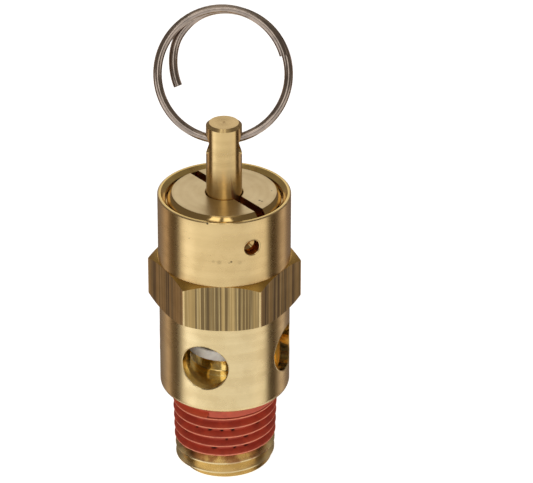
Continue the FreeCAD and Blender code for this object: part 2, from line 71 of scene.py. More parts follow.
# --------------------------------------------------------------------------- node helpers
class Graph:
    """Adds and links the nodes of one tree."""

    def __init__(self, tree: bpy.types.NodeTree) -> None:
        """Keeps the tree and starts at its left edge.

        Args:
            tree: Node tree of a material, a group or a world.
        """
        self.tree = tree
        self.column = 0

    def add(self, kind: str, **settings: object) -> bpy.types.Node:
        """Adds a node.

        Args:
            kind: Type name of the node.
            settings: Properties set on the node.

        Returns:
            The new node.
        """
        node = self.tree.nodes.new(kind)
        node.location = (self.column, 0)
        self.column += 170
        for name, value in settings.items():
            setattr(node, name, value)
        return node

    def feed(self, source: Feed, target: bpy.types.NodeSocket) -> None:
        """Links a socket to another socket, or sets it to a plain value.

        Args:
            source: The socket or the value.
            target: The input that takes it.
        """
        if isinstance(source, bpy.types.NodeSocket):
            self.tree.links.new(source, target)
        else:
            target.default_value = source

    def calc(self, operation: str, *parts: Feed, clamp: bool = False) -> bpy.types.NodeSocket:
        """One arithmetic step.

        Args:
            operation: Operation of the Math node.
            parts: Sockets or numbers, in the order of the node's inputs.
            clamp: Keeps the result between 0 and 1.

        Returns:
            The result.
        """
        node = self.add("ShaderNodeMath", operation=operation, use_clamp=clamp)
        for socket, value in zip(node.inputs, parts):
            self.feed(value, socket)
        return node.outputs[0]

    def product(self, *parts: Feed) -> bpy.types.NodeSocket:
        """All the parts multiplied together.

        Args:
            parts: Sockets or numbers.

        Returns:
            The product.
        """
        total = parts[0]
        for part in parts[1:]:
            total = self.calc("MULTIPLY", total, part)
        return total

    def total(self, *parts: Feed) -> bpy.types.NodeSocket:
        """All the parts added together.

        Args:
            parts: Sockets or numbers.

        Returns:
            The sum.
        """
        total = parts[0]
        for part in parts[1:]:
            total = self.calc("ADD", total, part)
        return total

    def ramp(self, value: Feed, low: float, high: float, to_low: float = 0.0,
             to_high: float = 1.0) -> bpy.types.NodeSocket:
        """Smooth step of a value.

        Args:
            value: The value.
            low: Where the step starts.
            high: Where the step ends.
            to_low: Result up to the start.
            to_high: Result past the end.

        Returns:
            The stepped value.
        """
        node = self.add("ShaderNodeMapRange", interpolation_type="SMOOTHSTEP", clamp=True)
        for socket, item in zip(node.inputs, (value, low, high, to_low, to_high)):
            self.feed(item, socket)
        return node.outputs[0]

    def window(self, value: Feed, low: float, high: float, soft: float) -> bpy.types.NodeSocket:
        """One between two limits and nothing outside them.

        Args:
            value: The value.
            low: Lower limit.
            high: Upper limit.
            soft: Half width of each edge.

        Returns:
            The share.
        """
        rise = self.ramp(value, low - soft, low + soft)
        fall = self.ramp(value, high - soft, high + soft, 1.0, 0.0)
        return self.product(rise, fall)

    def mix(self, share: Feed, first: Feed, second: Feed) -> bpy.types.NodeSocket:
        """Colour between two colours.

        Args:
            share: Share of the second colour.
            first: The first colour.
            second: The second colour.

        Returns:
            The mixed colour.
        """
        node = self.add("ShaderNodeMix", data_type="RGBA", clamp_factor=True)
        self.feed(share, node.inputs[0])
        self.feed(first, node.inputs[6])
        self.feed(second, node.inputs[7])
        return node.outputs[2]

    def noise(self, vector: Feed, scale: float, detail: float = 3.0,
              rough: float = 0.55) -> bpy.types.NodeSocket:
        """Noise value near 0.5.

        Args:
            vector: Where it is read.
            scale: Grains per unit.
            detail: Octaves.
            rough: Strength of the finer octaves.

        Returns:
            The value.
        """
        node = self.add("ShaderNodeTexNoise", noise_dimensions="3D")
        self.feed(vector, node.inputs["Vector"])
        node.inputs["Scale"].default_value = scale
        node.inputs["Detail"].default_value = detail
        node.inputs["Roughness"].default_value = rough
        return node.outputs[0]

    def split(self, vector: Feed) -> list[bpy.types.NodeSocket]:
        """The three parts of a vector.

        Args:
            vector: The vector.

        Returns:
            Its x, y and z.
        """
        node = self.add("ShaderNodeSeparateXYZ")
        self.feed(vector, node.inputs[0])
        return list(node.outputs)

    def join(self, *parts: Feed) -> bpy.types.NodeSocket:
        """A vector from its three parts.

        Args:
            parts: Its x, y and z.

        Returns:
            The vector.
        """
        node = self.add("ShaderNodeCombineXYZ")
        for socket, value in zip(node.inputs, parts):
            self.feed(value, socket)
        return node.outputs[0]

    def near(self, point: Feed, place: Place, size: float) -> bpy.types.NodeSocket:
        """One at a place, fading to nothing around it.

        Args:
            point: Object coordinates.
            place: The place.
            size: Distance at which nothing is left.

        Returns:
            The share.
        """
        node = self.add("ShaderNodeVectorMath", operation="DISTANCE")
        self.feed(point, node.inputs[0])
        self.feed(place, node.inputs[1])
        return self.ramp(node.outputs["Value"], 0.35 * size, size, 1.0, 0.0)

    def radius(self, x: Feed, y: Feed) -> bpy.types.NodeSocket:
        """Distance from the axis.

        Args:
            x: First object coordinate.
            y: Second object coordinate.

        Returns:
            The distance.
        """
        return self.calc("SQRT", self.total(self.product(x, x), self.product(y, y)))

    def other(self, share: Feed) -> bpy.types.NodeSocket:
        """What a share leaves of the whole.

        Args:
            share: The share.

        Returns:
            One minus the share.
        """
        return self.calc("SUBTRACT", 1.0, share)


class Effect:
    """A shader node group that several finishes share."""

    def __init__(self, name: str, inputs: dict[str, Socket], outputs: Sequence[str]) -> None:
        """Opens a group.

        Args:
            name: Name of the group.
            inputs: Kind of each input by name.
            outputs: Names of the outputs, which are all numbers.
        """
        self.group = bpy.data.node_groups.new(name, "ShaderNodeTree")
        for label, kind in inputs.items():
            self.group.interface.new_socket(name=label, in_out="INPUT", socket_type=kind.value)
        for label in outputs:
            self.group.interface.new_socket(name=label, in_out="OUTPUT", socket_type=Socket.NUMBER.value)
        self.graph = Graph(self.group)
        self.source = self.graph.add("NodeGroupInput").outputs
        self.sink = self.graph.add("NodeGroupOutput").inputs

    def give(self, **results: Feed) -> "Effect":
        """Feeds the outputs.

        Args:
            results: What each output gives, by name.

        Returns:
            The effect itself.
        """
        for name, value in results.items():
            self.graph.feed(value, self.sink[name])
        return self

    def place(self, graph: Graph, **values: Feed) -> bpy.types.bpy_prop_collection:
        """Places the group in a material.

        Args:
            graph: The material's graph.
            values: Values of the inputs by name.

        Returns:
            The outputs of the placed group.
        """
        node = graph.add("ShaderNodeGroup", node_tree=self.group)
        for name, value in values.items():
            graph.feed(value, node.inputs[name])
        return node.outputs


class Effects:
    """The shared effects, built once."""

    def __init__(self) -> None:
        """Builds every group."""
        self.turning = self.turning_marks()
        self.tarnish = self.tarnish_marks()
        self.grain = self.fine_grain()

    def turning_marks(self) -> Effect:
        """Fine rings left by a lathe tool or a drill, on sides and on faces alike.

        Returns:
            The effect.
        """
        effect = Effect("turning_marks", {"Point": Socket.VECTOR, "Pitch": Socket.NUMBER},
                        ["Height", "Shade"])
        graph = effect.graph
        x, y, z = graph.split(effect.source["Point"])
        radius = graph.radius(x, y)
        angle = graph.calc("ARCTAN2", y, x)
        per_metre = graph.calc("DIVIDE", 1.0, effect.source["Pitch"])
        tilt = graph.product(angle, 0.5)
        across = graph.join(graph.product(radius, per_metre), graph.product(z, per_metre), tilt)
        fine = graph.noise(across, 1.0, 2.0, 0.6)
        broad = graph.noise(across, 0.11, 2.0, 0.5)
        return effect.give(Height=graph.total(graph.product(fine, 0.6), graph.product(broad, 0.4)),
                           Shade=graph.ramp(broad, 0.32, 0.68))

    def tarnish_marks(self) -> Effect:
        """Soft patches and dark specks on bare metal.

        Returns:
            The effect.
        """
        effect = Effect("tarnish", {"Point": Socket.VECTOR, "Speck": Socket.NUMBER},
                        ["Patches", "Specks"])
        graph = effect.graph
        point = effect.source["Point"]
        patches = graph.ramp(graph.noise(point, 260.0, 4.0, 0.6), 0.36, 0.68)
        cells = graph.add("ShaderNodeTexVoronoi", feature="F1", distance="EUCLIDEAN")
        graph.feed(point, cells.inputs["Vector"])
        cells.inputs["Scale"].default_value = 520.0
        rare = graph.ramp(graph.noise(point, 420.0, 1.0), 0.60, 0.66)
        spot = graph.calc("LESS_THAN", cells.outputs["Distance"], effect.source["Speck"])
        return effect.give(Patches=patches, Specks=graph.product(spot, rare))

    def fine_grain(self) -> Effect:
        """Close grain with a broader cloud in it.

        Returns:
            The effect.
        """
        effect = Effect("fine_grain", {"Point": Socket.VECTOR, "Scale": Socket.NUMBER},
                        ["Cloud", "Grain"])
        graph = effect.graph
        x, y, z = graph.split(effect.source["Point"])
        scale = effect.source["Scale"]
        point = graph.join(graph.product(x, scale), graph.product(y, scale), graph.product(z, scale))
        return effect.give(Cloud=graph.ramp(graph.noise(point, 0.18, 3.0), 0.34, 0.66),
                           Grain=graph.noise(point, 1.0, 3.0, 0.6))


# --------------------------------------------------------------------------- finishes
@dataclass(frozen=True)
class Mark:
    """A small dark bruise or stain at one place on a surface."""

    place: Place
    size: float
    depth: float = 0.7


@dataclass(frozen=True)
class Finish:
    """What every finish has in common."""

    name: str
    colour: Colour
    roughness: float = 0.3
    metallic: float = 1.0
    anisotropy: float = 0.0

    def open(self) -> tuple[bpy.types.Material, Graph, bpy.types.Node, bpy.types.NodeSocket]:
        """Starts the material.

        Returns:
            The material, its graph, its shader and the object coordinates.
        """
        material = bpy.data.materials.new(self.name)
        material.use_nodes = True
        material.node_tree.nodes.clear()
        graph = Graph(material.node_tree)
        point = graph.add("ShaderNodeTexCoord").outputs["Object"]
        shader = graph.add("ShaderNodeBsdfPrincipled")
        output = graph.add("ShaderNodeOutputMaterial")
        graph.feed(shader.outputs[0], output.inputs["Surface"])
        shader.inputs["Metallic"].default_value = self.metallic
        if self.anisotropy:
            shader.inputs["Anisotropic"].default_value = self.anisotropy
            shader.inputs["Anisotropic Rotation"].default_value = 0.25
            tangent = graph.add("ShaderNodeTangent", direction_type="RADIAL", axis="Z")
            graph.feed(tangent.outputs[0], shader.inputs["Tangent"])
        return material, graph, shader, point

    def raise_grain(self, graph: Graph, shader: bpy.types.Node, height: Feed, depth: float) -> None:
        """Feeds a height into the shader's normal.

        Args:
            graph: The material's graph.
            shader: The material's shader.
            height: The height, near 0 to 1.
            depth: What a height of one stands for, in metres.
        """
        node = graph.add("ShaderNodeBump")
        node.inputs["Strength"].default_value = 1.0
        node.inputs["Distance"].default_value = depth
        graph.feed(height, node.inputs["Height"])
        graph.feed(node.outputs[0], shader.inputs["Normal"])

    def tint(self, colour: Colour) -> tuple[float, float, float, float]:
        """A colour with its fourth part.

        Args:
            colour: Red, green and blue.

        Returns:
            The colour as a socket takes it.
        """
        return (*colour, 1.0)


@dataclass(frozen=True)
class TurnedBrass(Finish):
    """Bright turned brass with lathe rings, patches and specks."""

    deep: Colour = (0.56, 0.38, 0.15)
    deep_share: float = 0.42
    stain: Colour = (0.05, 0.03, 0.015)
    speck_share: float = 0.7
    pitch: float = 0.16 * MM
    ring_depth: float = 0.0007 * MM
    speck: float = 0.06
    polish: float = 0.04
    dulling: float = 0.09
    marks: Sequence[Mark] = ()

    def bright(self, graph: Graph, point: Feed, effects: Effects) -> tuple[Feed, Feed, Feed]:
        """The turned surface.

        Args:
            graph: The material's graph.
            point: Object coordinates.
            effects: The shared effects.

        Returns:
            Its colour, its tone from 0 to 1 and the height of its rings.
        """
        rings = effects.turning.place(graph, Point=point, Pitch=self.pitch)
        stain = effects.tarnish.place(graph, Point=point, Speck=self.speck)
        tone = graph.total(graph.product(stain["Patches"], 0.5), graph.product(rings["Shade"], 0.4))
        colour = self.toned(graph, tone, self.colour)
        colour = graph.mix(graph.product(stain["Specks"], self.speck_share), colour, self.tint(self.stain))
        for mark in self.marks:
            spot = graph.near(point, mark.place, mark.size)
            colour = graph.mix(graph.product(spot, mark.depth), colour, self.tint(self.stain))
        return colour, tone, rings["Height"]

    def toned(self, graph: Graph, tone: Feed, colour: Colour) -> bpy.types.NodeSocket:
        """A brass colour that deepens where the tone is high.

        Args:
            graph: The material's graph.
            tone: Tone from 0 to 1.
            colour: The brass colour.

        Returns:
            The toned colour.
        """
        return graph.mix(graph.product(tone, self.deep_share), self.tint(colour), self.tint(self.deep))

    def worn(self, graph: Graph, tone: Feed, *extra: Feed) -> bpy.types.NodeSocket:
        """Roughness of the turned surface.

        Args:
            graph: The material's graph.
            tone: Tone from 0 to 1.
            extra: Further amounts to add.

        Returns:
            The roughness.
        """
        return graph.total(self.roughness - self.polish, graph.product(tone, self.dulling), *extra)

    def material(self, effects: Effects) -> bpy.types.Material:
        """Builds the material.

        Args:
            effects: The shared effects.

        Returns:
            The material.
        """
        material, graph, shader, point = self.open()
        colour, tone, height = self.bright(graph, point, effects)
        graph.feed(colour, shader.inputs["Base Color"])
        graph.feed(self.worn(graph, tone), shader.inputs["Roughness"])
        self.raise_grain(graph, shader, height, self.ring_depth)
        return material


@dataclass(frozen=True)
class ScrewBrass(TurnedBrass):
    """Turned brass of the adjusting screw, polished on its bevel, with painted shade low down, in its slot
    and on its bevel.
    """

    sunk_shade_colour: Colour = (0.44, 0.19, 0.045)
    sunk_low: float = 38.6 * MM
    sunk_high: float = 39.25 * MM
    slot_shade_colour: Colour = (0.42, 0.18, 0.045)
    slot_shade_share: float = 0.9
    slot_turn: float = 51.5
    slot_offset: float = 0.30 * MM
    slot_half: float = 0.65 * MM
    slot_edge: float = 0.005 * MM
    slot_top: float = 40.02 * MM
    slot_fade: float = 0.12 * MM
    bevel_radius: float = 6.83 * MM
    bevel_shade_colour: Colour = (0.66, 0.44, 0.17)
    bevel_polish: float = 0.20

    def below(self, graph: Graph, point: Feed, colour: Feed) -> bpy.types.NodeSocket:
        """Painted shade low down where the screw sits in the body and in the screwdriver slot, and a darker
        bevel colour that paints the dark surroundings the bevel reflects.

        Args:
            graph: The material's graph.
            point: Object coordinates.
            colour: Colour of the metal elsewhere.

        Returns:
            The colour with all three added.
        """
        x, y, z = graph.split(point)
        # Painted shade: the screw turns darker and redder below the top of the body, where it sits in the
        # bore.
        low = graph.ramp(z, self.sunk_low, self.sunk_high, 1.0, 0.0)
        colour = graph.mix(low, colour, self.tint(self.sunk_shade_colour))
        turn = math.radians(self.slot_turn)
        across = graph.total(graph.product(x, math.sin(turn)), graph.product(y, math.cos(turn)))
        inside = graph.window(across, self.slot_offset - self.slot_half, self.slot_offset + self.slot_half,
                              self.slot_edge)
        deep = graph.ramp(z, self.slot_top - self.slot_fade, self.slot_top, 1.0, 0.0)
        # Painted shade: a darker brass on the bevel stands in for the dark surroundings it reflects.
        colour = graph.mix(self.rim(graph, point), colour, self.tint(self.bevel_shade_colour))
        # Painted shade: the screwdriver slot is painted dark brown below its mouth.
        return graph.mix(graph.product(inside, deep, self.slot_shade_share), colour, self.tint(self.slot_shade_colour))

    def rim(self, graph: Graph, point: Feed) -> bpy.types.NodeSocket:
        """Mask of the bevel round the top face.

        Args:
            graph: The material's graph.
            point: Object coordinates.

        Returns:
            One from the bevel outwards.
        """
        x, y, _ = graph.split(point)
        return graph.calc("GREATER_THAN", graph.radius(x, y), self.bevel_radius)

    def material(self, effects: Effects) -> bpy.types.Material:
        """Builds the material.

        Args:
            effects: The shared effects.

        Returns:
            The material.
        """
        material, graph, shader, point = self.open()
        colour, tone, height = self.bright(graph, point, effects)
        graph.feed(self.below(graph, point, colour), shader.inputs["Base Color"])
        rough = self.worn(graph, tone, graph.product(self.rim(graph, point), -self.bevel_polish))
        graph.feed(rough, shader.inputs["Roughness"])
        self.raise_grain(graph, shader, height, self.ring_depth)
        return material


@dataclass(frozen=True)
class BodyBrass(TurnedBrass):
    """Turned brass whose wrench flats keep the dull drawn surface of the bar."""

    lit_low_colour: Colour = (0.91, 0.735, 0.41)
    low_from: float = 22.0 * MM
    low_to: float = 30.0 * MM
    lit_low_share: float = 0.85
    bounce_lit_inner_colour: Colour = (0.97, 0.70, 0.25)
    bounce_lit_inner_share: float = 0.92
    inner_radius: float = 8.47 * MM
    inner_edge: float = 0.06 * MM
    inner_step: float = 0.17 * MM
    inner_polish: float = 0.08
    upper_low: float = 30.0 * MM
    upper_high: float = 38.8 * MM
    upper_edge: float = 0.5 * MM
    # Painted shade: dark colour for the inside of the upper bore, seen through the lock hole.
    hole_shade_colour: Colour = (0.30, 0.12, 0.03)
    thread_top: float = 11.0 * MM
    nozzle_light_colour: Colour = (1.0, 0.84, 0.48)
    nozzle_radius: float = 4.80 * MM
    flat_colour: Colour = (0.54, 0.37, 0.15)
    flat_light: Colour = (0.90, 0.68, 0.32)
    flat_dark: Colour = (0.17, 0.115, 0.055)
    flat_low: float = 24.1 * MM
    flat_high: float = 30.7 * MM
    flat_radius: float = 8.715 * MM
    corner_radius: float = 9.985 * MM
    flat_tilt: float = 0.2
    flat_edge: float = 0.01 * MM
    flat_dulling: float = 0.14
    line_share: float = 0.75
    line_height: float = 6.0
    streak: float = 0.28 * MM
    streak_rise: float = 14.0
    hex_bevel_shade_colour: Colour = (0.70, 0.42, 0.10)
    tint_low: float = 2.45 * MM
    tint_high: float = 3.75 * MM
    tint_radius: float = 7.2 * MM
    tint_edge: float = 0.25 * MM
    tint_share: float = 0.55
    tint_colour: Colour = (0.30, 0.055, 0.03)

    def material(self, effects: Effects) -> bpy.types.Material:
        """Builds the material.

        Args:
            effects: The shared effects.

        Returns:
            The material.
        """
        material, graph, shader, point = self.open()
        x, y, z = graph.split(point)
        radius = graph.radius(x, y)
        colour, tone, rings = self.bright(graph, point, effects)
        # Painted light: the lower barrel and thread take a paler, brighter brass, standing in for the
        # stronger light that falls on them.
        lower = graph.ramp(z, self.low_from, self.low_to, self.lit_low_share, 0.0)
        colour = graph.mix(lower, colour, self.toned(graph, tone, self.lit_low_colour))
        colour, inside = self.lined(graph, z, radius, colour)
        colour = graph.mix(self.sealant_stain(graph, point, z, radius), colour, self.tint(self.tint_colour))
        drawn, bevel = self.hexagon_shares(graph, z, radius)
        # Painted shade: the hex bevels take a darker orange brass, standing in for the dark surroundings they
        # reflect.
        colour = graph.mix(bevel, colour, self.tint(self.hex_bevel_shade_colour))
        lines, bands = self.streaks(graph, x, y, z)
        flats = graph.mix(bands, self.tint(self.flat_dark), self.tint(self.flat_colour))
        flats = graph.mix(graph.product(lines, self.line_share), flats, self.tint(self.flat_light))
        graph.feed(graph.mix(drawn, colour, flats), shader.inputs["Base Color"])
        rough = self.worn(graph, tone, graph.product(drawn, self.flat_dulling),
                          graph.product(inside, -self.inner_polish))
        graph.feed(rough, shader.inputs["Roughness"])
        turned_part = graph.product(rings, graph.other(drawn))
        height = graph.total(turned_part, graph.product(lines, drawn, self.line_height))
        self.raise_grain(graph, shader, height, self.ring_depth)
        return material

    def lined(self, graph: Graph, z: Feed, radius: Feed,
              colour: Feed) -> tuple[bpy.types.NodeSocket, bpy.types.NodeSocket]:
        """Paints the inside brighter and warmer as painted light bounced between the walls, the lock hole
        zone dark as painted shade, and the nozzle bright as painted light.

        Args:
            graph: The material's graph.
            z: Height.
            radius: Distance from the axis.
            colour: Colour of the outside.

        Returns:
            The colour everywhere, and a mask of the inside.
        """
        upper = graph.window(z, self.upper_low, self.upper_high, self.upper_edge)
        depth = graph.calc("SUBTRACT", radius, graph.product(upper, self.inner_step))
        inside = graph.ramp(depth, self.inner_radius - self.inner_edge, self.inner_radius, 1.0, 0.0)
        bare_thread = graph.calc("LESS_THAN", z, self.thread_top)
        inside = graph.product(inside, graph.other(bare_thread))
        # Painted light inside the bore and ports, standing in for light bounced between the walls; painted
        # shade inside the upper bore round the lock hole.
        lining = graph.mix(upper, self.tint(self.bounce_lit_inner_colour), self.tint(self.hole_shade_colour))
        colour = graph.mix(graph.product(inside, self.bounce_lit_inner_share), colour, lining)
        # Painted light: the nozzle deep inside the ports is painted a bright pale brass.
        nozzle = graph.product(inside, graph.calc("LESS_THAN", radius, self.nozzle_radius))
        return graph.mix(nozzle, colour, self.tint(self.nozzle_light_colour)), inside

    def hexagon_shares(self, graph: Graph, z: Feed,
                       radius: Feed) -> tuple[bpy.types.NodeSocket, bpy.types.NodeSocket]:
        """Masks of the hexagon.

        Args:
            graph: The material's graph.
            z: Height.
            radius: Distance from the axis.

        Returns:
            One on the wrench flats, and one on the bevels above and below them.
        """
        normal = graph.add("ShaderNodeTexCoord").outputs["Normal"]
        tilt = graph.calc("ABSOLUTE", graph.split(normal)[2])
        upright = graph.calc("LESS_THAN", tilt, self.flat_tilt)
        outside = graph.window(radius, self.flat_radius, self.corner_radius, self.flat_edge)
        level = graph.window(z, self.flat_low, self.flat_high, self.flat_edge)
        here = graph.product(outside, level)
        return graph.product(upright, here), graph.product(graph.other(upright), here)

    def streaks(self, graph: Graph, x: Feed, y: Feed, z: Feed) -> tuple[Feed, Feed]:
        """Streaks that drawing leaves along the bar.

        Args:
            graph: The material's graph.
            x: First object coordinate.
            y: Second object coordinate.
            z: Height.

        Returns:
            Fine lines and broader bands, both from 0 to 1.
        """
        per_metre = 1.0 / self.streak
        along = graph.join(graph.product(x, per_metre), graph.product(y, per_metre),
                           graph.product(z, self.streak_rise))
        lines = graph.ramp(graph.noise(along, 1.60, 3.0, 0.65), 0.47, 0.72)
        bands = graph.ramp(graph.noise(along, 0.50, 3.0, 0.6), 0.36, 0.62)
        return lines, bands

    def sealant_stain(self, graph: Graph, point: Feed, z: Feed, radius: Feed) -> bpy.types.NodeSocket:
        """Thin red stain on the bare thread just below the sealant.

        Args:
            graph: The material's graph.
            point: Object coordinates.
            z: Height.
            radius: Distance from the axis.

        Returns:
            Share of the stain.
        """
        level = graph.window(z, self.tint_low, self.tint_high, self.tint_edge)
        outside = graph.calc("LESS_THAN", radius, self.tint_radius)
        patchy = graph.ramp(graph.noise(point, 420.0, 3.0), 0.42, 0.60)
        return graph.product(level, outside, patchy, self.tint_share)


@dataclass(frozen=True)
class DrawnWire(Finish):
    """Dull drawn wire."""

    shade: Colour = (0.2, 0.17, 0.15)
    shade_share: float = 0.5
    grains: float = 2600.0
    grain_depth: float = 0.0006 * MM
    polish: float = 0.04
    dulling: float = 0.08

    def material(self, effects: Effects) -> bpy.types.Material:
        """Builds the material.

        Args:
            effects: The shared effects.

        Returns:
            The material.
        """
        material, graph, shader, point = self.open()
        grain = effects.grain.place(graph, Point=point, Scale=self.grains)
        cloud = graph.product(grain["Cloud"], self.shade_share)
        colour = graph.mix(cloud, self.tint(self.colour), self.tint(self.shade))
        graph.feed(colour, shader.inputs["Base Color"])
        rough = graph.total(self.roughness - self.polish, graph.product(grain["Grain"], self.dulling))
        graph.feed(rough, shader.inputs["Roughness"])
        self.raise_grain(graph, shader, grain["Grain"], self.grain_depth)
        return material


@dataclass(frozen=True)
class SeatRubber(Finish):
    """White silicone with a faint moulded grain."""

    shade: Colour = (0.62, 0.60, 0.58)
    shade_share: float = 0.5
    grains: float = 5000.0
    grain_depth: float = 0.004 * MM

    def material(self, effects: Effects) -> bpy.types.Material:
        """Builds the material.

        Args:
            effects: The shared effects.

        Returns:
            The material.
        """
        material, graph, shader, point = self.open()
        grain = effects.grain.place(graph, Point=point, Scale=self.grains)
        cloud = graph.product(grain["Cloud"], self.shade_share)
        colour = graph.mix(cloud, self.tint(self.colour), self.tint(self.shade))
        graph.feed(colour, shader.inputs["Base Color"])
        shader.inputs["Roughness"].default_value = self.roughness
        self.raise_grain(graph, shader, grain["Grain"], self.grain_depth)
        return material


@dataclass(frozen=True)
class DriedSealant(Finish):
    """Dried red thread sealant, paler on its worn crests with a painted highlight along them, and painted
    near-black shadow in its chips and crease.
    """

    root: Colour = (0.34, 0.034, 0.018)
    root_share: float = 0.6
    rubbed_crest_highlight: Colour = (0.80, 0.33, 0.18)
    chip_shadow_colour: Colour = (0.012, 0.005, 0.004)
    fresh: Colour = (0.72, 0.150, 0.068)
    fresh_from: float = 9.0 * MM
    fresh_to: float = 9.9 * MM
    fresh_share: float = 0.70
    filled_share: float = 0.70
    grains: float = 3200.0
    grain_depth: float = 0.010 * MM
    dulling: float = 0.12
    chip_dulling: float = 0.3

    def material(self, effects: Effects) -> bpy.types.Material:
        """Builds the material.

        Args:
            effects: The shared effects.

        Returns:
            The material.
        """
        material, graph, shader, point = self.open()
        grain = effects.grain.place(graph, Point=point, Scale=self.grains)
        wear_and_painted_light = graph.add("ShaderNodeAttribute", attribute_type="GEOMETRY", attribute_name="wear_and_painted_light")
        rub, chip, filled = graph.split(wear_and_painted_light.outputs["Vector"])
        cloud = graph.product(grain["Cloud"], self.root_share)
        colour = graph.mix(cloud, self.tint(self.colour), self.tint(self.root))
        high = graph.ramp(graph.split(point)[2], self.fresh_from, self.fresh_to)
        fresh = graph.product(high, graph.other(graph.product(filled, self.filled_share)), self.fresh_share)
        colour = graph.mix(fresh, colour, self.tint(self.fresh))
        broken = graph.ramp(grain["Grain"], 0.30, 0.55, 0.35, 1.0)
        # Paler crest lines: the coat worn thin there, with a painted highlight along each crest.
        colour = graph.mix(graph.product(rub, broken), colour, self.tint(self.rubbed_crest_highlight))
        # Painted shadow: near-black colour in the chips and along the crease.
        colour = graph.mix(chip, colour, self.tint(self.chip_shadow_colour))
        graph.feed(colour, shader.inputs["Base Color"])
        rough = graph.total(self.roughness, graph.product(grain["Grain"], self.dulling),
                            graph.product(chip, self.chip_dulling))
        graph.feed(rough, shader.inputs["Roughness"])
        self.raise_grain(graph, shader, grain["Grain"], self.grain_depth)
        return material


# --------------------------------------------------------------------------- pieces
def add_piece(name: str, build: bmesh.types.BMesh, rider: Rider, smooth: bool = True) -> bpy.types.Object:
    """Makes an object of a finished bmesh and lets it ride on a body.

    Args:
        name: Name of the piece.
        build: The bmesh, which is freed.
        rider: The body it rides on.
        smooth: Shades it smooth.

    Returns:
        The piece.
    """
    for face in build.faces:
        face.smooth = smooth
    mesh = bpy.data.meshes.new(name)
    build.to_mesh(mesh)
    build.free()
    piece = bpy.data.objects.new(name, mesh)
    bpy.context.scene.collection.objects.link(piece)
    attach(piece, rider.value)
    return piece


